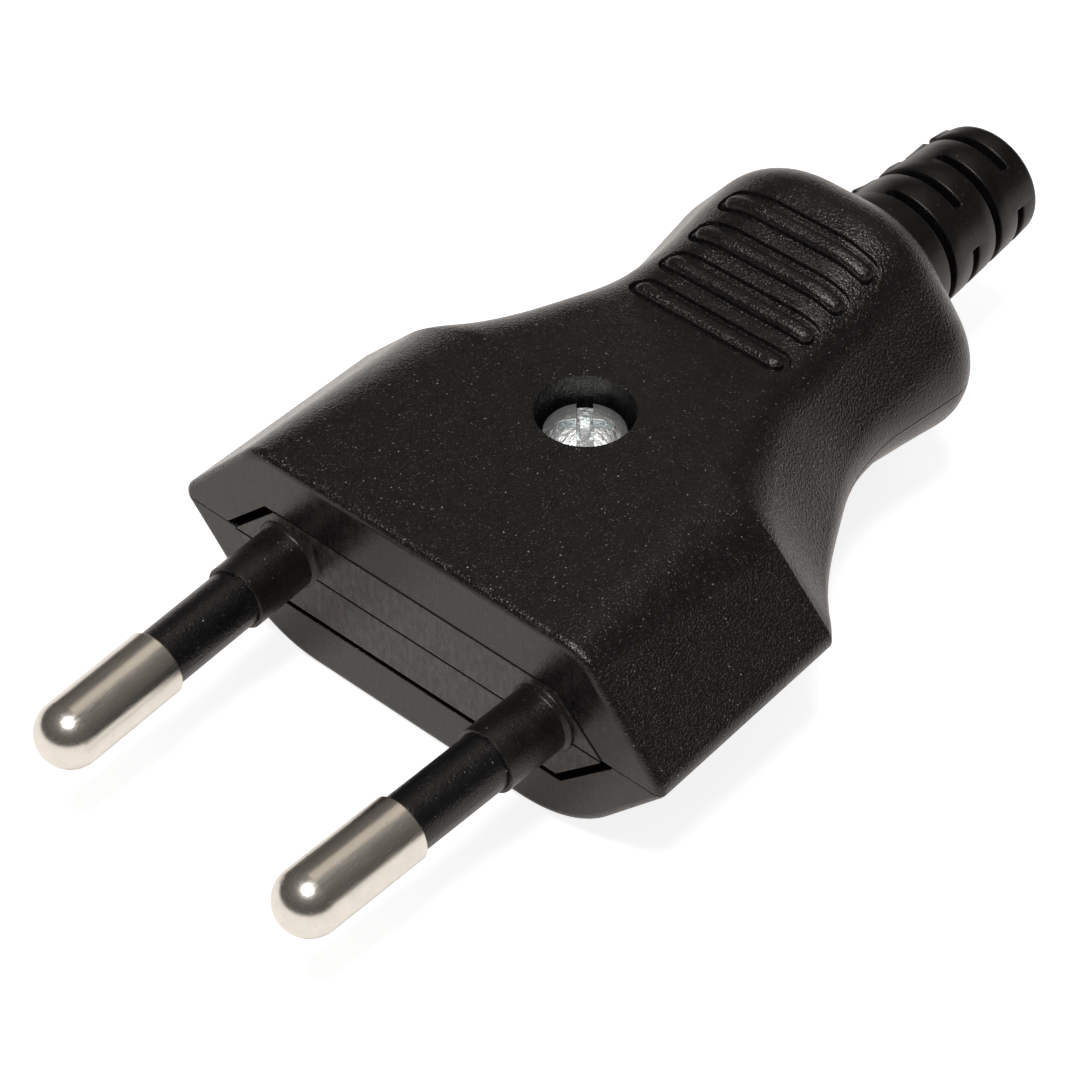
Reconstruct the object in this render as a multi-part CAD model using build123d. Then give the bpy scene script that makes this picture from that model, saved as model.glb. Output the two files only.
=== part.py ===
from build123d import *
from collections import namedtuple
from functools import cache
import math
import os

os.makedirs("parts", exist_ok=True)

# Frame: the engagement face that meets a socket is y = 0, the pins point along -Y, the cord leaves
# along +Y, and the two shells part at z = 0.

# Cross-sections of the housing: a hexagon with rounded corners, widest at its mid height
Section = namedtuple("Section", "y half_width half_height side_angle edge_radius side_radius lower_radius")
FRONT = Section(0.05, 17.74, 6.88, 48.8, 2.9, 0.95, 8.0)
SHOULDER = Section(14.9, 17.56, 6.88, 46.7, 7.5, 0.95, 8.0)
FLANK = Section(18.05, 14.86, 6.84, 47.2, 5.7, 1.2, 7.0)
HIP = Section(22.05, 12.48, 6.56, 48.7, 4.0, 1.7, 6.0)
WAIST = Section(26.05, 10.60, 6.15, 52.0, 4.0, 2.4, 5.0)
GRIP = Section(30.05, 10.00, 7.05, 54.0, 5.0, 3.4, 4.5)
SWELL = Section(33.55, 10.35, 8.05, 54.0, 6.0, 4.4, 4.5)
CREST = Section(36.35, 10.60, 8.80, 52.0, 7.0, 5.2, 4.5)
lower_drop = 0.65
housing_rise = 0.22
station_pitch = 1.4
rear_rounding = 4.9
rear_length = 3.9
closing_stations = 4
front_edge_radius = 0.5

# Shells
wall = 2.0
front_wall = 2.2
rear_wall = 1.7
rib_wall = 1.4
inner_edge_radius = 0.8
inner_side_radius = 1.0
fit_gap = 0.15
parting_gap = 0.06
cord_gap = 0.4

# Grip ribs across the top
rib_count = 4
rib_first_y = 25.45
rib_pitch = 2.73
rib_half_length = 5.35
rib_width = 1.1
rib_rise = 0.2
rib_crest_radius = 0.45
rib_groove_width = 0.42
rib_groove_depth = 0.32

# Pins: round, drawn together slightly towards their tips
pin_spacing_base = 18.83
pin_spacing_tip = 17.5
pin_length = 19.45
pin_lift = 0.5
pin_radius = 2.0
pin_metal_length = 8.75
pin_rim_chamfer = 0.12
neck_radius = 1.45
overmould_gap = 0.02
sleeve_radius = 1.75
sleeve_anchor = 1.5
collar_radius = 2.0
collar_length = 4.4
collar_root_radius = 2.25
collar_root_length = 0.3

# Terminal barrel at the rear of each pin, with a wire hole and a clamping screw
barrel_radius = 2.8
barrel_length = 8.0
wire_hole_radius = 1.3
wire_hole_depth = 6.4
terminal_screw_setback = 2.8
terminal_screw_radius = 1.25
terminal_head_radius = 1.9
terminal_head_height = 1.0
screw_gap = 0.05
driver_slot_width = 0.6
driver_slot_depth = 0.55

# Pin carrier: a hexagonal insert whose front, the engagement face, is all but level with the shells
carrier_half_width = 13.55
carrier_half_height = 3.2
carrier_side_angle = 45.0
carrier_corner_radius = 0.2
carrier_lift = -0.08
carrier_depth = 7.5
carrier_flange = 2.0
carrier_top_gap = 0.05
carrier_bottom_gap = 0.45
carrier_wide_gap = 0.75
carrier_narrow_gap = 0.12
carrier_line_width = 0.14
carrier_line_depth = 0.12

# Screw that holds the shells together, with its nut in the lower shell
screw_y = 14.5
screw_radius = 1.5
screw_length = 10.05
screw_head_radius = 2.4
screw_head_height = 2.6
screw_head_depth = 0.84
screw_rim_height = 1.85
screw_slot_width = 0.95
screw_slot_depth = 1.1
screw_cross_length = 3.0
screw_cross_width = 0.6
screw_cross_depth = 1.5
screw_slot_turn = 41.0
counterbore_radius = 2.92
boss_radius = 4.5
nut_across_flats = 5.5
nut_height = 2.4
nut_inset = 0.6

# Bend relief: a slotted tapering sleeve held by a flange
relief_bore_radius = 2.9
relief_flange_length = 1.5
relief_neck_radius = 5.0
relief_neck_length = 3.0
relief_base_radius = 4.42
relief_flare = 2.1
relief_end_radius = 3.9
relief_length = 10.0
relief_end_rounding = 0.5
slot_rows = 4
slot_first = 0.15
slot_pitch = 2.5
slot_width = 0.7
slot_bridge_angle = 39.0
slot_turn = 33.0

# Cord clamp: a saddle strap on two bosses
clamp_y = 31.05
clamp_width = 4.0
clamp_radius = 2.4
clamp_strap = 1.1
clamp_ear = 1.6
clamp_foot_z = -1.4
clamp_screw_radius = 0.9
clamp_screw_length = 4.0
clamp_head_radius = 1.5
clamp_head_height = 1.1
clamp_boss_radius = 1.9

# Places that follow from the sizes above
rear_y = CREST.y + rear_length
cavity_end_y = rear_y - rear_wall
flange_front_y = FRONT.y + front_wall + fit_gap
flange_back_y = flange_front_y + carrier_flange
pin_tilt = math.degrees(math.asin((pin_spacing_base - pin_spacing_tip) / 2 / pin_length))
terminal_screw_y = carrier_depth + barrel_length - terminal_screw_setback
relief_flange_y = cavity_end_y - relief_flange_length - fit_gap
relief_neck_end_y = relief_flange_y + relief_flange_length + relief_neck_length
relief_base_y = relief_neck_end_y + relief_flare
relief_end_y = relief_base_y + relief_length
screw_seat_z = housing_rise + SHOULDER.half_height - screw_head_depth - screw_head_height
nut_z = housing_rise - SHOULDER.half_height + nut_inset
clamp_screw_x = clamp_radius + clamp_strap + clamp_head_radius + fit_gap
clamp_ear_z = clamp_foot_z + clamp_ear
SIDES = {"left": -1, "right": 1}
FAR = 60.0
UPRIGHT = 0.1


def sharp_point(half_width, side_angle, side_radius):
    """Half width to the sharp corner that the side rounding takes off."""
    return half_width + side_radius * (1 / math.sin(math.radians(side_angle)) - 1)


def hexagon(half_width, half_height, side_angle, edge_radius, side_radius, lower_radius, drop=0.0):
    """Closed outline of a six-sided section, its lower half deeper by a drop and its corners rounded."""
    point = sharp_point(half_width, side_angle, side_radius)
    slope = math.tan(math.radians(side_angle))
    depth = half_height + drop
    flat, lower_flat = point - half_height / slope, point - depth / slope
    corners = [(point, 0), (flat, half_height), (-flat, half_height),
               (-point, 0), (-lower_flat, -depth), (lower_flat, -depth)]
    radii = [side_radius, edge_radius, edge_radius, side_radius, lower_radius, lower_radius]
    return FilletPolyline(*corners, radius=radii, close=True)


def across(y, z=0.0):
    """Plane across the housing at y, centred at height z, with +X to the right and +Z up."""
    return Plane(origin=(0, y, z), x_dir=(1, 0, 0), z_dir=(0, -1, 0))


def inset_section(section, inset):
    """A housing section moved inwards, its corners kept round enough to mould."""
    return section._replace(half_width=section.half_width - inset, half_height=section.half_height - inset,
                            edge_radius=max(section.edge_radius - inset, inner_edge_radius),
                            side_radius=max(section.side_radius - inset, inner_side_radius),
                            lower_radius=max(section.lower_radius - inset, inner_edge_radius))


def section_face(section, inset=0.0):
    """A housing section, or the same section moved inwards, as a face."""
    if inset:
        section = inset_section(section, inset)
    return across(section.y, housing_rise) * make_face(hexagon(*section[1:], lower_drop))


def secant(before, after):
    """Rate at which each measure of the section changes along y, between two sections."""
    return [(b - a) / (after.y - before.y) for a, b in zip(before, after)]


def flowing_sections():
    """Sections from the shoulder to the crest, close together on a smooth curve through the given ones."""
    given = [SHOULDER, FLANK, HIP, WAIST, GRIP, SWELL, CREST]
    rates = [secant(a, b) for a, b in zip(given, given[1:])]
    level = [0.0 if name == "half_height" else rate for name, rate in zip(Section._fields, rates[0])]
    slopes = [level] + [[(r + q) / 2 for r, q in zip(a, b)] for a, b in zip(rates, rates[1:])]
    slopes.append([1.0] + [0.0] * (len(Section._fields) - 1))
    sections = []
    for i, (start, end) in enumerate(zip(given, given[1:])):
        span = end.y - start.y
        steps = max(1, round(span / station_pitch))
        for t in (k / steps for k in range(steps)):
            blend = [(2 * t**3 - 3 * t**2 + 1) * a + (t**3 - 2 * t**2 + t) * span * m
                     + (3 * t**2 - 2 * t**3) * b + (t**3 - t**2) * span * n
                     for a, b, m, n in zip(start, end, slopes[i], slopes[i + 1])]
            sections.append(Section(start.y + t * span, *blend[1:]))
    return sections + [CREST]


def closing_section(y):
    """Section behind the crest, where the housing rounds in to its rear end."""
    scale = math.sqrt(1 - ((y - CREST.y) / rear_rounding) ** 2)
    return Section(y, CREST.half_width * scale, CREST.half_height * scale, CREST.side_angle,
                   CREST.edge_radius * scale, CREST.side_radius * scale, CREST.lower_radius * scale)


def nose_section(y):
    """Section of the nose, which runs straight from the front to the shoulder."""
    share = (y - FRONT.y) / (SHOULDER.y - FRONT.y)
    return Section(*[a + share * (b - a) for a, b in zip(FRONT, SHOULDER)])


@cache
def housing_form(inset=0.0, start_y=FRONT.y, end_y=rear_y):
    """The housing's straight nose and flowing body, or both moved inwards, from start_y to end_y."""
    nose = loft([section_face(section, inset) for section in (nose_section(start_y), SHOULDER)])
    closing = [CREST.y + (end_y - CREST.y) * math.sin(math.radians(90 * i / closing_stations))
               for i in range(1, closing_stations + 1)]
    sections = flowing_sections() + [closing_section(y) for y in closing]
    body = loft([section_face(section, inset) for section in sections])
    return nose, body


def housing_solid():
    """The whole outside of the housing, with its front edge eased."""
    nose, body = housing_form()
    nose = fillet(nose.faces().sort_by(Axis.Y)[0].edges(), front_edge_radius)
    return nose + body


def slab(y_from, y_to):
    """Everything between two planes across the housing."""
    return Pos(0, (y_from + y_to) / 2, 0) * Box(2 * FAR, y_to - y_from, 2 * FAR)


def half_space(side, gap=0.0):
    """Everything above (side 1) or below (side -1) the parting plane, but for a gap."""
    return Pos(0, 0, side * (FAR + gap) / 2) * Box(4 * FAR, 4 * FAR, FAR)


def y_cylinder(radius, y_from, y_to):
    """Cylinder along the cord's axis."""
    return Pos(0, (y_from + y_to) / 2, 0) * Rot(90, 0, 0) * Cylinder(radius, y_to - y_from)


def z_cylinder(radius, x, y, z_from, z_to):
    """Upright cylinder between two heights."""
    return Pos(x, y, (z_from + z_to) / 2) * Cylinder(radius, z_to - z_from)


def pin_frame(side):
    """Place of a pin: its axis through the engagement face, turned in towards the tip."""
    return Pos(side * pin_spacing_base / 2, 0, pin_lift) * Rot(0, 0, -side * pin_tilt)


def rib_prisms(half_length, width):
    """Upright bars with round ends, one for each grip rib."""
    bars = []
    for i in range(rib_count):
        bar = extrude(SlotOverall(2 * half_length, width), amount=FAR)
        bars.append(Pos(0, rib_first_y + i * rib_pitch, 0) * bar)
    return Compound(bars)


def rib_grooves():
    """The groove that runs round each grip rib, as deep as rib_groove_depth."""
    outer = rib_prisms(rib_half_length + rib_groove_width, rib_width + 2 * rib_groove_width)
    inner = rib_prisms(rib_half_length, rib_width)
    floor = housing_form(inset=rib_groove_depth)[1]
    return outer - inner - floor


def rib_tops():
    """The ribs themselves, round-backed, standing proud of the grip and rooted in its wall."""
    bars = rib_prisms(rib_half_length, rib_width) & housing_form(inset=-rib_rise)[1]
    upright = [face for face in bars.faces() if abs(face.normal_at().Z) < UPRIGHT]
    rims = [edge for face in upright for edge in face.edges() if edge.bounding_box().min.Z > wall]
    return fillet(rims, rib_crest_radius) - housing_form(inset=wall / 2)[1]


def shell(side, fittings):
    """One half of the housing, hollow but for the ribs, the screw boss and its own fittings."""
    flange_stop_y = flange_back_y + fit_gap
    relief_stop_y = relief_flange_y - fit_gap
    ribs = slab(flange_stop_y, flange_stop_y + rib_wall) + slab(relief_stop_y - rib_wall, relief_stop_y)
    boss = z_cylinder(boss_radius, 0, screw_y, -FAR / 2, FAR / 2)
    nose, body = housing_form(inset=wall, start_y=FRONT.y + front_wall, end_y=cavity_end_y)
    hollow = nose + body - ribs - boss
    for fitting in fittings:
        hollow -= fitting
    solid = (housing_solid() - hollow) & half_space(side, parting_gap)
    opening_x = side * (carrier_narrow_gap - carrier_wide_gap) / 2
    outline = hexagon(carrier_half_width + (carrier_wide_gap + carrier_narrow_gap) / 2,
                      carrier_half_height + carrier_top_gap, carrier_side_angle,
                      *[carrier_corner_radius] * 3, carrier_bottom_gap - carrier_top_gap)
    opening = across(flange_stop_y + 2 * rib_wall, carrier_lift) * extrude(make_face(outline), amount=FAR)
    solid -= Pos(opening_x, 0, 0) * opening
    solid -= y_cylinder(relief_bore_radius + cord_gap, relief_stop_y - 2 * rib_wall, relief_flange_y)
    solid -= y_cylinder(relief_neck_radius + fit_gap, relief_flange_y, rear_y + rear_wall)
    solid -= z_cylinder(screw_radius + fit_gap, 0, screw_y, -FAR / 2, FAR / 2)
    return solid


def upper_shell():
    """Upper half of the housing, with the grip ribs and the deep screw hole."""
    solid = shell(1, []) - rib_grooves() + rib_tops()
    solid -= z_cylinder(counterbore_radius, 0, screw_y, screw_seat_z, FAR / 2)
    return solid


def terminal_saddle():
    """Rib across the lower shell, notched to cradle the terminal barrels."""
    y = carrier_depth + barrel_length / 2
    saddle = slab(y - rib_wall / 2, y + rib_wall / 2) & half_space(-1)
    for side in SIDES.values():
        saddle -= pin_frame(side) * Rot(90, 0, 0) * Cylinder(barrel_radius + fit_gap, 2 * FAR)
    return saddle


def lower_shell():
    """Lower half: nut pocket, terminal saddle and the bosses of the cord clamp."""
    clamp_bosses = [z_cylinder(clamp_boss_radius, side * clamp_screw_x, clamp_y, -FAR / 2, clamp_foot_z)
                    for side in SIDES.values()]
    solid = shell(-1, [terminal_saddle()] + clamp_bosses)
    for side in SIDES.values():
        solid -= z_cylinder(clamp_screw_radius + screw_gap, side * clamp_screw_x, clamp_y,
                            clamp_foot_z - clamp_screw_length, clamp_foot_z)
    pocket = RegularPolygon((nut_across_flats + 2 * fit_gap) / 2, 6, major_radius=False)
    solid -= Pos(0, screw_y, nut_z + nut_height) * extrude(pocket, amount=-FAR)
    return solid


def pin_carrier():
    """Insert that carries the pins: block, retaining flange and a collar round each pin."""
    block_outline = hexagon(carrier_half_width, carrier_half_height, carrier_side_angle,
                            *[carrier_corner_radius] * 3)
    block = across(carrier_depth, carrier_lift) * extrude(make_face(block_outline), amount=carrier_depth)
    flange_face = section_face(nose_section(flange_back_y), wall + fit_gap)
    solid = block + extrude(flange_face, amount=carrier_flange)
    solid -= Pos(0, 0, carrier_lift) * Box(2 * FAR, 2 * carrier_line_depth, carrier_line_width)
    for side in SIDES.values():
        collar = Pos(0, -collar_length / 2, 0) * Rot(90, 0, 0) * Cylinder(collar_radius, collar_length)
        root = Pos(0, -collar_root_length / 2, 0) * Rot(90, 0, 0) * Cone(
            collar_root_radius, collar_radius, collar_root_length)
        solid += pin_frame(side) * (collar + root)
    for side in SIDES.values():
        sleeve_room = Pos(0, sleeve_anchor - FAR / 2, 0) * Rot(90, 0, 0) * Cylinder(
            sleeve_radius + overmould_gap, FAR)
        neck_room = Rot(90, 0, 0) * Cylinder(neck_radius + overmould_gap, FAR)
        solid -= pin_frame(side) * (sleeve_room + neck_room)
    return solid


def pin(side):
    """Turned pin: domed tip, necked shank and terminal barrel."""
    metal_end = pin_metal_length - pin_length
    shoulder = carrier_depth + fit_gap
    barrel_end = carrier_depth + barrel_length
    with BuildPart() as turned:
        with BuildSketch(Plane.XY):
            with BuildLine():
                Polyline((0, barrel_end), (barrel_radius, barrel_end), (barrel_radius, shoulder),
                         (neck_radius, shoulder), (neck_radius, metal_end),
                         (pin_radius - pin_rim_chamfer, metal_end), (pin_radius, metal_end - pin_rim_chamfer),
                         (pin_radius, pin_radius - pin_length))
                CenterArc((0, pin_radius - pin_length), pin_radius, 0, -90)
                Line((0, -pin_length), (0, barrel_end))
            make_face()
        revolve(axis=Axis.Y)
    solid = turned.part
    solid -= y_cylinder(wire_hole_radius, barrel_end - wire_hole_depth, barrel_end)
    solid -= z_cylinder(terminal_screw_radius + screw_gap, 0, terminal_screw_y, 0, barrel_radius)
    return pin_frame(side) * solid


def pin_sleeve(side):
    """Insulating sleeve on the pin's neck."""
    start = pin_metal_length - pin_length + overmould_gap
    length = sleeve_anchor - start - overmould_gap
    tube = Cylinder(sleeve_radius, length) - Cylinder(neck_radius + overmould_gap, length)
    return pin_frame(side) * Pos(0, start + length / 2, 0) * Rot(90, 0, 0) * tube


def slotted_screw(radius, length, head_radius, head_height):
    """Cheese-head screw, its seat at z = 0 and its shank downwards, with a straight slot."""
    solid = z_cylinder(radius, 0, 0, -length, 0) + z_cylinder(head_radius, 0, 0, 0, head_height)
    slot = Pos(0, 0, head_height) * Box(2 * head_radius, driver_slot_width, 2 * driver_slot_depth)
    return solid - slot


def terminal_screw(side):
    """Screw that clamps the wire in the barrel."""
    seat = barrel_radius + screw_gap
    screw = slotted_screw(terminal_screw_radius, seat - wire_hole_radius, terminal_head_radius,
                          terminal_head_height)
    return pin_frame(side) * Pos(0, terminal_screw_y, seat) * screw


def clamp_half_length():
    """Half length of the clamp: as long as the hollow's sloping sides let it be."""
    hollow = inset_section(GRIP, wall)
    point = sharp_point(hollow.half_width, hollow.side_angle, hollow.side_radius)
    offset = max(housing_rise - clamp_foot_z, clamp_ear_z - housing_rise)
    return point - offset / math.tan(math.radians(hollow.side_angle)) - 2 * fit_gap


def cord_clamp():
    """Saddle strap: an arch over the cord between two drilled ears."""
    arch = y_cylinder(clamp_radius + clamp_strap, clamp_y - clamp_width / 2, clamp_y + clamp_width / 2)
    bar = Box(2 * clamp_half_length(), clamp_width, clamp_ear)
    ears = Pos(0, clamp_y, clamp_foot_z + clamp_ear / 2) * bar
    solid = (arch & Pos(0, 0, clamp_foot_z) * half_space(1)) + ears
    solid -= y_cylinder(clamp_radius, clamp_y - clamp_width, clamp_y + clamp_width)
    for side in SIDES.values():
        x = side * clamp_screw_x
        solid -= z_cylinder(clamp_screw_radius + screw_gap, x, clamp_y, clamp_foot_z, clamp_ear_z)
        solid -= z_cylinder(clamp_head_radius + fit_gap, x, clamp_y, clamp_ear_z, FAR / 2)
    return solid


def clamp_screw(side):
    """Screw through an ear of the clamp into its boss."""
    screw = slotted_screw(clamp_screw_radius, clamp_ear + clamp_screw_length - fit_gap, clamp_head_radius,
                          clamp_head_height)
    return Pos(side * clamp_screw_x, clamp_y, clamp_ear_z) * screw


def relief_flange_radius():
    """Radius of the relief's flange: as large as the hollow's rear end lets it be."""
    hollow = inset_section(closing_section(cavity_end_y), wall)
    return hollow.half_height - housing_rise - fit_gap


def bend_relief():
    """Slotted sleeve: flange, neck, flare and taper, bored for the cord."""
    solid = y_cylinder(relief_flange_radius(), relief_flange_y, relief_flange_y + relief_flange_length)
    solid += y_cylinder(relief_neck_radius, relief_flange_y, relief_neck_end_y)
    flare = Pos(0, relief_neck_end_y + relief_flare / 2, 0) * Rot(-90, 0, 0) * Cone(
        relief_neck_radius, relief_base_radius, relief_flare)
    taper = Pos(0, relief_base_y + relief_length / 2, 0) * Rot(-90, 0, 0) * Cone(
        relief_base_radius, relief_end_radius, relief_length)
    taper = fillet(taper.edges().sort_by(Axis.Y)[-1], relief_end_rounding)
    solid = solid + flare + taper
    bore = y_cylinder(relief_bore_radius, relief_flange_y - wall, relief_end_y + wall)
    for row in range(slot_rows):
        y = relief_base_y + slot_first + row * slot_pitch
        ring = y_cylinder(relief_neck_radius + wall, y, y + slot_width)
        turn = slot_turn + 90 * ((row + 1) % 2)
        for half in (0, 180):
            bridge_width = 2 * relief_base_radius * math.sin(math.radians(slot_bridge_angle / 2))
            bridge = Pos(relief_base_radius, y + slot_width / 2, 0) * Box(
                2 * relief_base_radius, 2 * slot_width, bridge_width)
            ring -= Rot(0, -(turn + half), 0) * bridge
        solid -= ring
    return solid - bore


def housing_screw():
    """Round-head screw with a slot right across its head and a deeper cross at the middle."""
    cap = screw_head_height - screw_rim_height
    dome_radius = (screw_head_radius**2 + cap**2) / (2 * cap)
    half_turn = math.asin(screw_head_radius / dome_radius) / 2
    dome_point = (dome_radius * math.sin(half_turn),
                  screw_head_height - dome_radius + dome_radius * math.cos(half_turn))
    with BuildPart() as turned:
        with BuildSketch(Plane.XZ):
            with BuildLine():
                Polyline((0, -screw_length), (screw_radius, -screw_length), (screw_radius, 0),
                         (screw_head_radius, 0), (screw_head_radius, screw_rim_height))
                ThreePointArc((screw_head_radius, screw_rim_height), dome_point, (0, screw_head_height))
                Line((0, screw_head_height), (0, -screw_length))
            make_face()
        revolve(axis=Axis.Z)
    solid = turned.part
    recess = Box(screw_slot_width, 2 * screw_head_radius, 2 * screw_slot_depth)
    recess += Box(screw_cross_length, screw_cross_width, 2 * screw_cross_depth)
    recess += Box(screw_cross_width, screw_cross_length, 2 * screw_cross_depth)
    solid -= Rot(0, 0, screw_slot_turn) * Pos(0, 0, screw_head_height) * recess
    return Pos(0, screw_y, screw_seat_z) * solid


def housing_nut():
    """Hexagon nut in the lower shell's pocket."""
    blank = extrude(RegularPolygon(nut_across_flats / 2, 6, major_radius=False), amount=nut_height)
    return Pos(0, screw_y, nut_z) * (blank - Cylinder(screw_radius + screw_gap, FAR))


parts = {
    "upper_shell": upper_shell(),
    "lower_shell": lower_shell(),
    "pin_carrier": pin_carrier(),
    "cord_clamp": cord_clamp(),
    "bend_relief": bend_relief(),
    "housing_screw": housing_screw(),
    "housing_nut": housing_nut(),
}
for name, side in SIDES.items():
    parts[name + "_pin"] = pin(side)
    parts[name + "_pin_sleeve"] = pin_sleeve(side)
    parts[name + "_terminal_screw"] = terminal_screw(side)
    parts[name + "_clamp_screw"] = clamp_screw(side)

for name, solid in parts.items():
    export_step(solid, os.path.join("parts", name + ".step"))
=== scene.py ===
import math

import bmesh
import bpy
from bpy.props import FloatProperty, FloatVectorProperty, IntProperty, PointerProperty
from bpy.types import NodeSocket, Operator, Panel, PropertyGroup
from mathutils import Matrix, Vector, noise


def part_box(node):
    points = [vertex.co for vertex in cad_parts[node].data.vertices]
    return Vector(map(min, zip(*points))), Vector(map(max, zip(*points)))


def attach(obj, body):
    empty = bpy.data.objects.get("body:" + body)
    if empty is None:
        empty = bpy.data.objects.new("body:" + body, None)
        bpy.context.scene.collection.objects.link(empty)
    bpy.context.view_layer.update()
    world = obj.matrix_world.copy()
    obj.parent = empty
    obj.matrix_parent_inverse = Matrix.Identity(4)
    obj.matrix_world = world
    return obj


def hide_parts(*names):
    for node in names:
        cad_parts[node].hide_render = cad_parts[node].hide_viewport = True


bl_info = {
    "name": "Two-pin plug",
    "version": (1, 0, 0),
    "blender": (4, 5, 0),
    "location": "View3D > Sidebar > Plug",
    "description": "Finishes the pieces of a two-pin plug and sets up its studio",
    "category": "Object",
}

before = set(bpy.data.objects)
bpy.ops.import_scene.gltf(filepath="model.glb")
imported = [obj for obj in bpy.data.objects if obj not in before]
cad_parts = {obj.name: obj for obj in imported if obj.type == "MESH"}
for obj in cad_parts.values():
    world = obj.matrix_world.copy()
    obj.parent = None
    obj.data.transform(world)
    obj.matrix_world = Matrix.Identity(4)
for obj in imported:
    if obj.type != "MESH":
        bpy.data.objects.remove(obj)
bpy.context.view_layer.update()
MM = 0.001
SIDES = ("left", "right")
MERGE_DISTANCE = 0.001 * MM

# Faces whose direction along Y lies past these count as the plug's front, at first in part, then fully
FRONT_STARTS, FRONT_FULL = -0.85, -0.97
# Faces whose direction along Z lies below these carry drag streaks, at first in part, then fully
STEEP_STARTS, STEEP_FULL = 0.80, 0.45
# Painted glints, light dots painted into the plastic's colour where lit grain facets would sparkle, thin out
# between these two places along the plug
PAINTED_GLINTS_FROM, PAINTED_GLINTS_TO = 2.0 * MM, 26.0 * MM
# A fleck fades from its core to its rim, as shares of its cell; a higher fade leaves fewer bright ones
FLECK_RIM, FLECK_CORE = 0.36, 0.16
FLECK_FADE = 2.5
# Most of a noise's values lie between these
NOISE_RANGE = (0.3, 0.7)

EDGE_SAMPLES = 4
PLASTIC_TINT = (1.0, 0.94, 0.905)
MOTTLE_SIZE = 0.9 * MM
SCUFF_SIZE, SCUFF_STRETCH = 0.35 * MM, (1.0, 1.0, 0.4)
STREAK_SIZE, STREAK_STRETCH = 0.10 * MM, (1.0, 1.0, 0.04)
CLOUD_SIZE = 1.6 * MM
DRAWN_SIZE, DRAWN_DEPTH = 0.07 * MM, 0.0012 * MM
DENT_SIZE = 0.35 * MM
PIT_PITCH = 0.16 * MM


def colour(name, default, description):
    """A colour that a user can change."""
    return FloatVectorProperty(name=name, description=description, default=default, subtype="COLOR",
                               size=3, min=0.0, max=1.0)


def length(name, default, description):
    """A length in metres that a user can change."""
    return FloatProperty(name=name, description=description, default=default, unit="LENGTH", precision=5)


def angle(name, degrees, description):
    """An angle that a user can change."""
    return FloatProperty(name=name, description=description, default=math.radians(degrees), unit="ROTATION")


def factor(name, default, description):
    """A plain number that a user can change."""
    return FloatProperty(name=name, description=description, default=default)


class PlugFinishes(PropertyGroup):
    """Colours and surface grain of the plug's materials."""
    housing: colour("Housing", (0.0050, 0.0046, 0.0047), "Spark-eroded black plastic of the shells")
    carrier: colour("Carrier", (0.0058, 0.0054, 0.0052), "Finer grained plastic of the pin carrier")
    sleeve: colour("Sleeve", (0.0034, 0.0036, 0.0042), "Blue-black plastic of the pin sleeves")
    relief: colour("Bend relief", (0.0032, 0.0030, 0.0031), "Softer black plastic of the bend relief")
    clamp: colour("Cord clamp", (0.020, 0.019, 0.018), "Plastic of the cord clamp")
    # Painted glints: the light grey that the plastics' colour takes where lit grain facets would sparkle
    painted_glint: colour("Fleck", (0.34, 0.34, 0.34), "Lit facets of the plastic's grain")
    scuff: colour("Scuff", (0.34, 0.30, 0.27), "Rubbed patches on the plug's front")
    nickel: colour("Plating", (0.82, 0.785, 0.73), "Warm nickel plating of the pins")
    zinc: colour("Zinc", (0.88, 0.92, 0.93), "Bright zinc plating of the housing screw")
    steel: colour("Steel", (0.56, 0.55, 0.53), "Terminal and clamp screws")
    grain: length("Grain", 0.15 * MM, "Size of the plastic's grain")
    grain_depth: length("Grain depth", 0.064 * MM, "Height of the plastic's grain")
    edge: length("Edge softness", 0.12 * MM, "Radius that softens moulded edges")


class PlugRelief(PropertyGroup):
    """Sizes of the slotted bend relief."""
    flange_length: length("Flange", 1.5 * MM, "Length of the flange inside the housing")
    neck_radius: length("Neck radius", 5.0 * MM, "Radius where it leaves the housing")
    neck_length: length("Neck", 3.0 * MM, "Length of the neck behind the flange")
    flare: length("Flare", 2.1 * MM, "Length of the cone behind the neck")
    base_radius: length("Base radius", 4.42 * MM, "Radius behind the flare")
    end_radius: length("End radius", 3.9 * MM, "Radius at the cord end")
    bore_radius: length("Bore radius", 2.9 * MM, "Radius of the cord's way through")
    rounding: length("End rounding", 0.5 * MM, "Rounding of the cord end")
    slot_rows: IntProperty(name="Slot rows", description="Rows of slots along the relief", default=4)
    slot_first: length("First slot", 0.15 * MM, "From the end of the flare to the first row")
    slot_pitch: length("Slot pitch", 2.5 * MM, "From row to row")
    slot_width: length("Slot width", 0.7 * MM, "Width of a slot along the relief")
    bridge: angle("Bridge", 39.0, "Width of the bridge between two slots of a row")
    turn: angle("Turn", 33.0, "Turn of the bridges about the cord")
    edge: length("Slot edge", 0.07 * MM, "Rounding of the slots' edges")
    flash: length("Flash", 0.40 * MM, "Height of the ragged flash along the mould's parting line")
    flash_turn: angle("Flash turn", 147.0, "Turn of the parting line about the cord")


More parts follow.
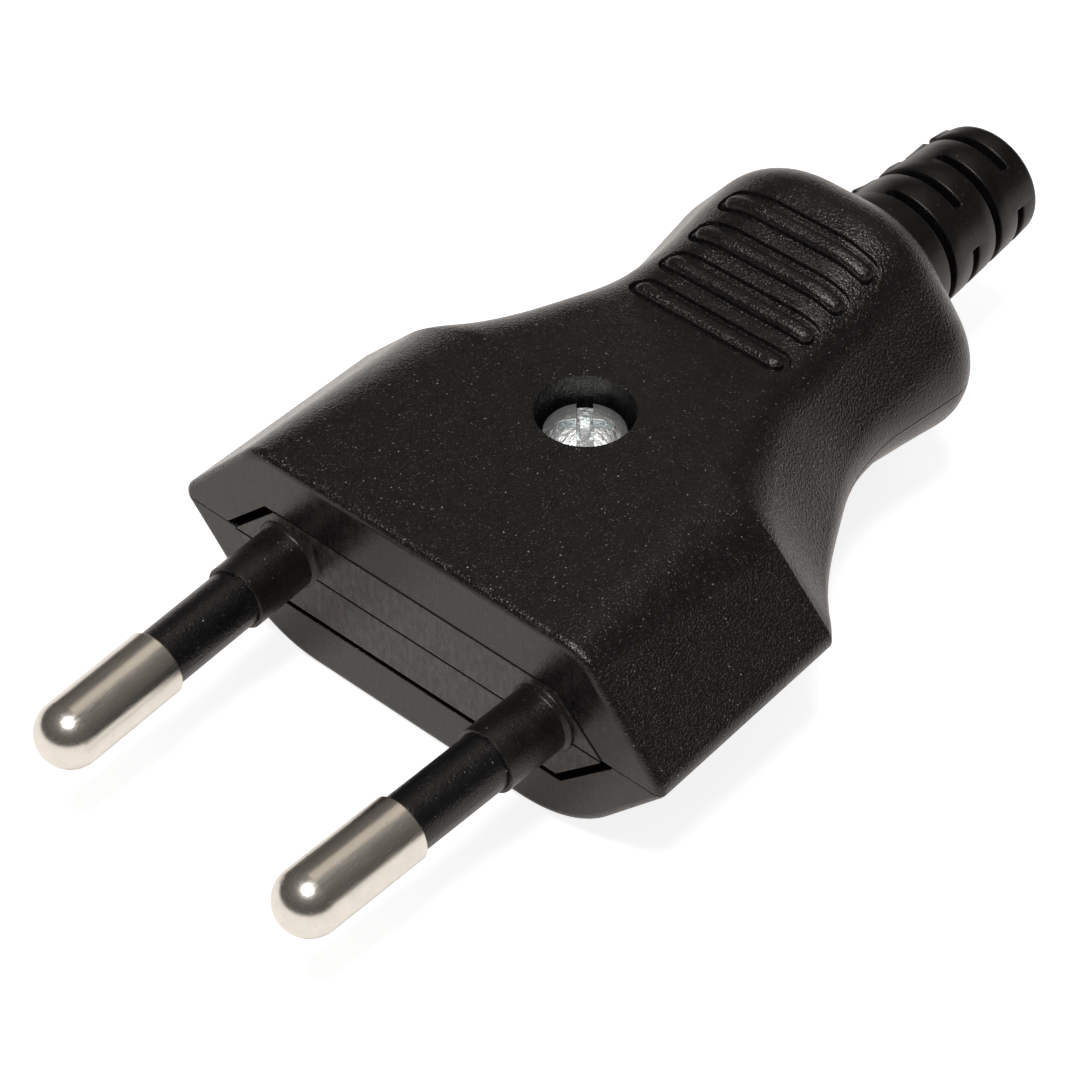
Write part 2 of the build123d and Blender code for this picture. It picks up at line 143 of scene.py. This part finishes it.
class PlugStage(PropertyGroup):
    """Camera, floor and light of the studio."""
    aim: FloatVectorProperty(name="Aim", description="Point that the camera looks at", subtype="XYZ",
                             default=(2.420 * MM, 7.294 * MM, 4.449 * MM), size=3, unit="LENGTH")
    distance: length("Distance", 201.67 * MM, "From the camera to its aim")
    azimuth: angle("Azimuth", 41.144, "Turn of the camera about the plug")
    elevation: angle("Elevation", 44.370, "Height of the camera above the horizon")
    lens: factor("Lens", 124.04, "Focal length in millimetres on the sensor below")
    sensor: factor("Sensor", 36.0, "Sensor width in millimetres")
    floor_size: length("Floor", 3.0, "Side of the floor")
    floor_tone: factor("Floor tone", 0.45, "Lightness of the floor")
    floor_glow: factor("Floor glow", 0.84, "Share of the floor's white that keeps out of the shadow")
    bounce: colour("Bounce", (0.61, 0.555, 0.515), "Tint of the floor, as glossy surfaces see it")
    ambient: factor("Ambient", 0.29, "Light from all round")
    room: colour("Room", (1.0, 0.92, 0.84), "Tint of the room above the floor, as glossy surfaces see it")


# Shader building blocks

def add_node(tree, kind, inputs=None, **values):
    """One shader node; values are its own settings, inputs are sockets to link or constants."""
    made = tree.nodes.new(kind)
    for name, value in values.items():
        setattr(made, name, value)
    for socket, value in (inputs or {}).items():
        if isinstance(value, NodeSocket):
            tree.links.new(value, made.inputs[socket])
        else:
            made.inputs[socket].default_value = value
    return made


def math_node(tree, operation, first, second=0.0):
    """Result of one sum on two sockets or numbers."""
    return add_node(tree, "ShaderNodeMath", {0: first, 1: second}, operation=operation).outputs[0]


def ramp(tree, value, low, high, to_low=0.0, to_high=1.0):
    """A value spread from one range to another, and held at its ends."""
    inputs = {"Value": value, "From Min": low, "From Max": high, "To Min": to_low, "To Max": to_high}
    return add_node(tree, "ShaderNodeMapRange", inputs, clamp=True).outputs["Result"]


def blend(tree, share, first, second):
    """Two colours mixed by a share."""
    made = add_node(tree, "ShaderNodeMix", data_type="RGBA")
    for socket, value in ((0, share), (6, first), (7, second)):
        if isinstance(value, NodeSocket):
            tree.links.new(value, made.inputs[socket])
        else:
            made.inputs[socket].default_value = value
    return made.outputs[2]


def rgba(tone, scale=1.0):
    """A colour with its alpha, scaled."""
    return tuple(min(1.0, part * scale) for part in tone) + (1.0,)


def new_material(name):
    """A material with an empty principled shader; returns it with its tree and shader."""
    material = bpy.data.materials.new(name)
    material.use_nodes = True
    tree = material.node_tree
    return material, tree, tree.nodes["Principled BSDF"]


def object_point(tree, stretch=(1.0, 1.0, 1.0)):
    """The surface point in the plug's own frame, stretched along each axis."""
    point = add_node(tree, "ShaderNodeTexCoord").outputs["Object"]
    return add_node(tree, "ShaderNodeMapping", {"Vector": point, "Scale": stretch}).outputs["Vector"]


def noise_value(tree, point, size, detail=2.0, roughness=0.5):
    """Smooth noise with features of a given size."""
    inputs = {"Vector": point, "Scale": 1.0 / size, "Detail": detail, "Roughness": roughness}
    return add_node(tree, "ShaderNodeTexNoise", inputs).outputs["Fac"]


def facing(tree, axis):
    """Component of the surface's direction along one axis of the plug."""
    normal = add_node(tree, "ShaderNodeTexCoord").outputs["Normal"]
    return add_node(tree, "ShaderNodeSeparateXYZ", {"Vector": normal}).outputs[axis]


def towards_front(tree, elsewhere, at_front):
    """One value on the faces that look forward, where the pins are, and another on the rest."""
    return ramp(tree, facing(tree, "Y"), FRONT_STARTS, FRONT_FULL, elsewhere, at_front)


def soft_edge(tree):
    """The surface's direction, rounded off at edges."""
    inputs = {"Radius": bpy.context.scene.plug_finishes.edge}
    return add_node(tree, "ShaderNodeBevel", inputs, samples=EDGE_SAMPLES).outputs["Normal"]


def bumped(tree, height, depth, normal, strength=1.0):
    """The surface's direction after a relief of a given depth."""
    inputs = {"Strength": strength, "Distance": depth, "Height": height, "Normal": normal}
    return add_node(tree, "ShaderNodeBump", inputs).outputs["Normal"]


def flecks(tree, point, pitch, share):
    """A mask of sparse dots, each of its own strength: painted glints on the plastics, dark pits on the
    metals.
    """
    cells = add_node(tree, "ShaderNodeTexVoronoi", {"Vector": point, "Scale": 1.0 / pitch})
    chance = add_node(tree, "ShaderNodeSeparateColor", {"Color": cells.outputs["Color"]}).outputs["Red"]
    strength = math_node(tree, "POWER", ramp(tree, chance, 1.0 - share, 1.0), FLECK_FADE)
    dot = ramp(tree, cells.outputs["Distance"], FLECK_RIM, FLECK_CORE)
    return math_node(tree, "MULTIPLY", strength, dot)


def moulded_plastic(name, tone, roughness, grain, grain_depth, painted_glint_share, gloss=0.42, smooth_front=0.0,
                    scuffs=0.0, streaks=0.0):
    """Black moulded plastic: spark-eroded grain, painted glints, rubbed front, drag streaks on steep sides,
    soft edges.
    """
    finishes = bpy.context.scene.plug_finishes
    material, tree, shader = new_material(name)
    point = object_point(tree)
    grainy = towards_front(tree, 1.0, 1.0 - smooth_front) if smooth_front else 1.0
    mottle = noise_value(tree, point, MOTTLE_SIZE, detail=4.0, roughness=0.65)
    base = blend(tree, ramp(tree, mottle, *NOISE_RANGE), rgba(tone, 0.7), rgba(tone, 1.4))
    if scuffs:
        stretched = object_point(tree, SCUFF_STRETCH)
        cloudy = noise_value(tree, stretched, SCUFF_SIZE, detail=6.0, roughness=0.7)
        rubbed = ramp(tree, cloudy, 0.42, 0.66, 0.0, scuffs)
        share = math_node(tree, "MULTIPLY", rubbed, towards_front(tree, 0.0, 1.0))
        base = blend(tree, share, base, rgba(finishes.scuff))
    if streaks:
        lines = noise_value(tree, object_point(tree, STREAK_STRETCH), STREAK_SIZE, detail=3.0)
        steep = ramp(tree, math_node(tree, "ABSOLUTE", facing(tree, "Z")), STEEP_STARTS, STEEP_FULL)
        share = math_node(tree, "MULTIPLY", ramp(tree, lines, 0.45, 0.75, 0.0, streaks), steep)
        base = blend(tree, share, base, rgba(tone, 6.0))
    along = add_node(tree, "ShaderNodeSeparateXYZ", {"Vector": point}).outputs["Y"]
    # Painted glints thin out towards the back of the plug and on the smoother front faces
    painted_glint_density = math_node(tree, "MULTIPLY", grainy, ramp(tree, along, PAINTED_GLINTS_FROM, PAINTED_GLINTS_TO, 1.0, 0.5))
    # Pitch, share and strength of the fine painted glints and of the bright ones, light grey dots painted
    # into the colour
    fine, bright = (0.8 * grain, 4.5 * painted_glint_share, 0.28), (1.1 * grain, 0.8 * painted_glint_share, 0.90)
    for pitch, share, strength in (fine, bright):
        dots = math_node(tree, "MULTIPLY", flecks(tree, point, pitch, share), painted_glint_density)
        base = blend(tree, math_node(tree, "MULTIPLY", dots, strength), base, rgba(finishes.painted_glint))
    rough = ramp(tree, mottle, 0.25, 0.75, roughness - 0.05, roughness + 0.05)
    if smooth_front:
        rough = math_node(tree, "ADD", rough, towards_front(tree, 0.0, 0.10))
    eroded = noise_value(tree, point, grain, detail=2.0, roughness=0.6)
    tree.links.new(base, shader.inputs["Base Color"])
    tree.links.new(rough, shader.inputs["Roughness"])
    tree.links.new(bumped(tree, eroded, grain_depth, soft_edge(tree), grainy), shader.inputs["Normal"])
    shader.inputs["Specular IOR Level"].default_value = gloss
    shader.inputs["Specular Tint"].default_value = rgba(PLASTIC_TINT)
    return material


def plated_metal(name, tone, roughness, pit_share, brush=(1.0, 1.0, 1.0), dents=0.0):
    """Bright plating with a faint drawn grain, cloudy patches, small pits and, if wanted, dents."""
    material, tree, shader = new_material(name)
    point = object_point(tree)
    clouds = noise_value(tree, point, CLOUD_SIZE, detail=4.0, roughness=0.6)
    drawn = noise_value(tree, object_point(tree, brush), DRAWN_SIZE, detail=2.0)
    pits = flecks(tree, point, PIT_PITCH, pit_share)
    base = blend(tree, ramp(tree, clouds, *NOISE_RANGE), rgba(tone, 0.93), rgba(tone, 1.04))
    base = blend(tree, pits, base, rgba(tone, 0.55))
    rough = ramp(tree, drawn, *NOISE_RANGE, roughness * 0.85, roughness * 1.2)
    normal = soft_edge(tree)
    if dents:
        dented = noise_value(tree, point, DENT_SIZE, detail=3.0, roughness=0.6)
        normal = bumped(tree, dented, dents, normal)
    normal = bumped(tree, math_node(tree, "SUBTRACT", drawn, pits), DRAWN_DEPTH, normal)
    tree.links.new(base, shader.inputs["Base Color"])
    tree.links.new(rough, shader.inputs["Roughness"])
    tree.links.new(normal, shader.inputs["Normal"])
    shader.inputs["Metallic"].default_value = 1.0
    return material


def finish_nodes(names, material):
    """Gives CAD nodes their material."""
    for name in names:
        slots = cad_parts[name].data.materials
        slots.clear()
        slots.append(material)


# Mesh building blocks

def new_piece(name, mesh_data, material, node):
    """Turns a finished bmesh into the piece that stands for a node."""
    mesh = bpy.data.meshes.new(name)
    mesh_data.to_mesh(mesh)
    mesh_data.free()
    mesh.materials.append(material)
    piece = bpy.data.objects.new(name, mesh)
    bpy.context.scene.collection.objects.link(piece)
    for polygon in mesh.polygons:
        polygon.use_smooth = True
    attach(piece, "root")
    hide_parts(node)
    return piece


def spun_ring(points, steps, start):
    """A closed outline of (radius, y) points spun round the Y axis, from a starting angle."""
    made = bmesh.new()
    turn = Matrix.Rotation(-start, 4, "Y")
    ring = [made.verts.new(turn @ Vector((radius, y, 0.0))) for radius, y in points]
    edges = [made.edges.new((a, b)) for a, b in zip(ring, ring[1:] + ring[:1])]
    bmesh.ops.spin(made, geom=ring + edges, cent=(0, 0, 0), axis=(0, -1, 0), angle=math.tau, steps=steps,
                   use_merge=True)
    bmesh.ops.remove_doubles(made, verts=made.verts, dist=MERGE_DISTANCE)
    bmesh.ops.recalc_face_normals(made, faces=made.faces)
    return made


def around(point):
    """Angle of a point about the Y axis, from +X towards +Z."""
    return math.atan2(point.z, point.x) % math.tau


class PLUG_OT_housing(Operator):
    """Finish the two shells"""
    bl_idname = "plug.housing"
    bl_label = "Housing"

    def execute(self, context):
        finishes = context.scene.plug_finishes
        plastic = moulded_plastic("housing_plastic", finishes.housing, roughness=0.17, grain=finishes.grain,
                                  grain_depth=finishes.grain_depth, painted_glint_share=0.10, smooth_front=0.8,
                                  scuffs=0.025, streaks=0.5)
        finish_nodes(("upper_shell", "lower_shell"), plastic)
        return {"FINISHED"}


class PLUG_OT_carrier(Operator):
    """Finish the pin carrier"""
    bl_idname = "plug.carrier"
    bl_label = "Pin carrier"

    def execute(self, context):
        finishes = context.scene.plug_finishes
        plastic = moulded_plastic("carrier_plastic", finishes.carrier, roughness=0.30, grain=0.14 * MM,
                                  grain_depth=0.028 * MM, painted_glint_share=0.02, scuffs=0.20)
        finish_nodes(("pin_carrier",), plastic)
        return {"FINISHED"}


class PLUG_OT_pins(Operator):
    """Finish the pins and their sleeves"""
    bl_idname = "plug.pins"
    bl_label = "Pins"

    def execute(self, context):
        finishes = context.scene.plug_finishes
        plating = plated_metal("plated_brass", finishes.nickel, roughness=0.23, pit_share=0.05,
                               brush=(1.0, 0.05, 1.0))
        plastic = moulded_plastic("sleeve_plastic", finishes.sleeve, roughness=0.26, grain=0.16 * MM,
                                  grain_depth=0.040 * MM, painted_glint_share=0.02)
        finish_nodes([side + "_pin" for side in SIDES], plating)
        finish_nodes([side + "_pin_sleeve" for side in SIDES], plastic)
        return {"FINISHED"}


class PLUG_OT_relief(Operator):
    """Model the slotted bend relief"""
    bl_idname = "plug.relief"
    bl_label = "Bend relief"

    columns = 120
    rounding_steps = 6
    side_facing = 0.5
    bore_margin = 0.12 * MM
    sharp_angle = math.radians(50)
    flash_reach = math.radians(6)
    flash_pitch = 0.5 * MM

    def outline(self, relief):
        """Closed outline of the wall, outer side first, with a point at each edge of a slot row."""
        low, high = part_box("bend_relief")
        start, end = low.y, high.y
        flange_end = start + relief.flange_length
        neck_end = flange_end + relief.neck_length
        base = neck_end + relief.flare
        flange_radius = high.x

        def radius(y):
            return relief.base_radius + (relief.end_radius - relief.base_radius) * (y - base) / (end - base)

        rows = []
        for row in range(relief.slot_rows):
            first = base + relief.slot_first + row * relief.slot_pitch
            rows.append((first, first + relief.slot_width))
        stations = sorted({y for row in rows for y in row})
        spread = [(a + b) / 2 for a, b in zip(stations[1:-1:2], stations[2::2])]
        stations = sorted(stations + spread)
        outer = [(flange_radius, start), (flange_radius, flange_end), (relief.neck_radius, flange_end),
                 (relief.neck_radius, neck_end), (relief.base_radius, base)]
        outer += [(radius(y), y) for y in stations]
        corner = (relief.end_radius - relief.rounding, end - relief.rounding)
        turns = [math.pi / 2 * step / self.rounding_steps for step in range(self.rounding_steps + 1)]
        rounding = [(corner[0] + relief.rounding * math.cos(turn),
                     corner[1] + relief.rounding * math.sin(turn)) for turn in turns]
        inner = [(relief.bore_radius, y) for y in reversed(stations)]
        points = outer + rounding + [(relief.bore_radius, end)] + inner + [(relief.bore_radius, start)]
        return points, rows

    def in_slot(self, face, rows, relief):
        """The row and side of the slot that a face lies in, or nothing."""
        centre = face.calc_center_median()
        for number, (first, last) in enumerate(rows):
            if first < centre.y < last and abs(face.normal.y) < self.side_facing:
                bridge = relief.turn + math.pi / 2 * ((number + 1) % 2)
                off = (around(centre) - bridge + math.pi / 2) % math.pi - math.pi / 2
                if abs(off) > relief.bridge / 2:
                    side = int((around(centre) - bridge) % math.tau // math.pi)
                    return number, side
        return None

    def execute(self, context):
        finishes, relief = context.scene.plug_finishes, context.scene.plug_relief
        points, rows = self.outline(relief)
        made = spun_ring(points, self.columns, relief.turn + relief.bridge / 2)
        groups = {}
        for face in made.faces:
            slot = self.in_slot(face, rows, relief)
            if slot is not None:
                groups.setdefault(slot, []).append(face)
        # Each slot loses its faces on both skins of the wall, and its two rims are bridged
        doomed = [face for faces in groups.values() for face in faces]
        rims = {}
        for slot, faces in groups.items():
            inside = set(faces)
            rims[slot] = [edge for face in faces for edge in face.edges
                          if sum(other in inside for other in edge.link_faces) == 1]
        bmesh.ops.delete(made, geom=doomed, context="FACES_ONLY")
        for rim in rims.values():
            bmesh.ops.bridge_loops(made, edges=rim)
        loose = [edge for edge in made.edges if not edge.link_faces]
        bmesh.ops.delete(made, geom=loose, context="EDGES")
        loose = [vert for vert in made.verts if not vert.link_faces]
        bmesh.ops.delete(made, geom=loose, context="VERTS")
        bmesh.ops.recalc_face_normals(made, faces=made.faces)
        sharp = [edge for edge in made.edges
                 if len(edge.link_faces) == 2 and edge.calc_face_angle() > self.sharp_angle]
        bmesh.ops.bevel(made, geom=sharp, offset=relief.edge, affect="EDGES", segments=2, profile=0.5,
                        material=-1)
        self.add_flash(made, relief)
        plastic = moulded_plastic("relief_plastic", finishes.relief, roughness=0.34, grain=0.14 * MM,
                                  grain_depth=0.020 * MM, painted_glint_share=0.03, gloss=0.34)
        new_piece("slotted_bend_relief", made, plastic, "bend_relief")
        return {"FINISHED"}

    def add_flash(self, made, relief):
        """Ragged ridge along the parting line on one side of the sleeve."""
        taper_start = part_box("bend_relief")[0].y + relief.flange_length + relief.neck_length + relief.flare
        for vert in made.verts:
            radius = math.hypot(vert.co.x, vert.co.z)
            if radius < relief.bore_radius + self.bore_margin or vert.co.y < taper_start:
                continue
            off = (around(vert.co) - relief.flash_turn + math.pi) % math.tau - math.pi
            if abs(off) < self.flash_reach:
                place = Vector((0.0, vert.co.y / self.flash_pitch, around(vert.co)))
                ragged = 0.5 + 0.5 * noise.noise(place)
                lift = relief.flash * ragged * math.cos(off / self.flash_reach * math.pi / 2)
                vert.co += Vector((vert.co.x, 0.0, vert.co.z)).normalized() * lift


class PLUG_OT_screws(Operator):
    """Finish the housing screw with its nut, the cord clamp and the terminal screws"""
    bl_idname = "plug.screws"
    bl_label = "Screws and clamp"

    def execute(self, context):
        finishes = context.scene.plug_finishes
        zinc = plated_metal("zinc_steel", finishes.zinc, roughness=0.42, pit_share=0.10, dents=0.10 * MM)
        steel = plated_metal("terminal_steel", finishes.steel, roughness=0.28, pit_share=0.12)
        plastic = moulded_plastic("clamp_plastic", finishes.clamp, roughness=0.48, grain=0.16 * MM,
                                  grain_depth=0.012 * MM, painted_glint_share=0.05)
        finish_nodes(("housing_screw", "housing_nut"), zinc)
        finish_nodes([side + kind for side in SIDES for kind in ("_terminal_screw", "_clamp_screw")], steel)
        finish_nodes(("cord_clamp",), plastic)
        return {"FINISHED"}


class PLUG_OT_stage(Operator):
    """Set up the camera, the floor and the studio light"""
    bl_idname = "plug.stage"
    bl_label = "Stage"

    # Room that glossy surfaces see, by height from the horizon to overhead
    shades = ((0.0, 1.0), (0.03, 0.05), (0.30, 0.09), (0.70, 0.13), (1.0, 0.18))
    # Soft boxes: name, place and size in metres, power in watts, tint
    boxes = (
        ("key_box", (0.05, -0.09, 0.48), 0.19, 2.2, (1.0, 0.99, 0.97)),
        ("rear_box", (-0.10, 0.285, 0.405), 0.30, 0.105, (1.0, 0.89, 0.75)),
    )
    floor_gap = 0.02 * MM
    floor_roughness = 0.9
    white = rgba((1.0, 1.0, 1.0))

    def execute(self, context):
        stage = context.scene.plug_stage
        self.camera(stage)
        self.floor(stage)
        self.world(stage)
        self.lamps(stage)
        context.scene.view_settings.view_transform = "Standard"
        return {"FINISHED"}

    def camera(self, stage):
        """The camera, looking down at the plug."""
        data = bpy.data.cameras.new("camera")
        data.lens = stage.lens
        data.sensor_width = stage.sensor
        data.clip_start = 1 * MM
        camera = bpy.data.objects.new("camera", data)
        bpy.context.scene.collection.objects.link(camera)
        back = Vector((math.sin(stage.azimuth) * math.cos(stage.elevation),
                       -math.cos(stage.azimuth) * math.cos(stage.elevation), math.sin(stage.elevation)))
        camera.location = Vector(stage.aim) + back * stage.distance
        camera.rotation_euler = back.to_track_quat("Z", "Y").to_euler()
        bpy.context.scene.camera = camera

    def contacts(self, points):
        """The two points, one under the nose and one under the grip, that a flat floor touches first."""
        hull = []
        for point in sorted(points, key=lambda point: (point.y, point.z)):
            while len(hull) > 1 and ((hull[-1].y - hull[-2].y) * (point.z - hull[-2].z)
                                     <= (hull[-1].z - hull[-2].z) * (point.y - hull[-2].y)):
                hull.pop()
            hull.append(point)
        return max(zip(hull, hull[1:]), key=lambda pair: pair[1].y - pair[0].y)

    def floor(self, stage):
        """Pale floor that the plug lies on, touching its nose and its swollen grip."""
        nose, rear = self.contacts([vert.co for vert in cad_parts["lower_shell"].data.vertices])
        tilt = math.atan2(rear.z - nose.z, rear.y - nose.y)
        made = bmesh.new()
        bmesh.ops.create_grid(made, x_segments=1, y_segments=1, size=stage.floor_size / 2)
        place = Matrix.Translation((0.0, rear.y, rear.z - self.floor_gap)) @ Matrix.Rotation(tilt, 4, "X")
        bmesh.ops.transform(made, matrix=place, verts=made.verts)
        mesh = bpy.data.meshes.new("floor")
        made.to_mesh(mesh)
        made.free()
        material, tree, shader = new_material("pale_floor")
        shader.inputs["Base Color"].default_value = rgba((stage.floor_tone,) * 3)
        shader.inputs["Roughness"].default_value = self.floor_roughness
        shader.inputs["Specular IOR Level"].default_value = 0.0
        mirrored = add_node(tree, "ShaderNodeLightPath").outputs["Is Glossy Ray"]
        tree.links.new(blend(tree, mirrored, self.white, rgba(stage.bounce)), shader.inputs["Emission Color"])
        glow = math_node(tree, "MULTIPLY", self.seen(tree), stage.floor_glow)
        tree.links.new(glow, shader.inputs["Emission Strength"])
        mesh.materials.append(material)
        floor = bpy.data.objects.new("floor", mesh)
        bpy.context.scene.collection.objects.link(floor)

    def seen(self, tree):
        """One for rays that show the background: from the camera, a reflection or through glass."""
        path = add_node(tree, "ShaderNodeLightPath")
        shown = math_node(tree, "ADD", path.outputs["Is Camera Ray"], path.outputs["Is Glossy Ray"])
        shown = math_node(tree, "ADD", shown, path.outputs["Is Transmission Ray"])
        return math_node(tree, "MINIMUM", shown, 1.0)

    def world(self, stage):
        """White background for the eye, a dim room that brightens overhead for gloss, and even light."""
        world = bpy.data.worlds.new("studio")
        bpy.context.scene.world = world
        world.use_nodes = True
        tree = world.node_tree
        background = tree.nodes["Background"]
        path = add_node(tree, "ShaderNodeLightPath")
        direction = add_node(tree, "ShaderNodeTexCoord").outputs["Generated"]
        height = add_node(tree, "ShaderNodeSeparateXYZ", {"Vector": direction}).outputs["Z"]
        room = add_node(tree, "ShaderNodeValToRGB", {"Fac": height})
        for at, _ in self.shades[1:-1]:
            room.color_ramp.elements.new(at)
        for element, (at, shade) in zip(room.color_ramp.elements, self.shades):
            element.position = at
            element.color = rgba(stage.room, shade)
        plain = blend(tree, self.seen(tree), rgba((stage.ambient,) * 3), self.white)
        shown = blend(tree, path.outputs["Is Glossy Ray"], plain, room.outputs["Color"])
        tree.links.new(shown, background.inputs["Color"])
        background.inputs["Strength"].default_value = 1.0

    def lamps(self, stage):
        """The soft boxes, turned to the plug."""
        for name, place, size, power, tint in self.boxes:
            data = bpy.data.lights.new(name, "AREA")
            data.shape = "DISK"
            data.size = size
            data.energy = power
            data.color = tint
            lamp = bpy.data.objects.new(name, data)
            bpy.context.scene.collection.objects.link(lamp)
            lamp.location = place
            lamp.rotation_euler = (Vector(place) - Vector(stage.aim)).to_track_quat("Z", "Y").to_euler()


class PLUG_PT_sidebar(Panel):
    """Lists the plug's pieces and settings"""
    bl_idname = "PLUG_PT_sidebar"
    bl_label = "Two-pin plug"
    bl_space_type = "VIEW_3D"
    bl_region_type = "UI"
    bl_category = "Plug"

    def draw(self, context):
        for operator in OPERATORS:
            self.layout.operator(operator.bl_idname)
        for name, group in GROUPS.items():
            column = self.layout.column()
            for setting in group.__annotations__:
                column.prop(getattr(context.scene, name), setting)


GROUPS = {"plug_finishes": PlugFinishes, "plug_relief": PlugRelief, "plug_stage": PlugStage}
OPERATORS = (PLUG_OT_housing, PLUG_OT_carrier, PLUG_OT_pins, PLUG_OT_relief, PLUG_OT_screws, PLUG_OT_stage)


def register():
    """Registers the classes and hangs the settings on the scene."""
    for cls in (*GROUPS.values(), *OPERATORS, PLUG_PT_sidebar):
        bpy.utils.register_class(cls)
    for name, group in GROUPS.items():
        setattr(bpy.types.Scene, name, PointerProperty(type=group))


def unregister():
    """Takes the settings and the classes away again."""
    for name in GROUPS:
        delattr(bpy.types.Scene, name)
    for cls in reversed((*GROUPS.values(), *OPERATORS, PLUG_PT_sidebar)):
        bpy.utils.unregister_class(cls)


def main():
    """Builds every piece and the stage."""
    register()
    bpy.ops.plug.housing()
    bpy.ops.plug.carrier()
    bpy.ops.plug.pins()
    bpy.ops.plug.relief()
    bpy.ops.plug.screws()
    bpy.ops.plug.stage()


if __name__ == "__main__":
    main()
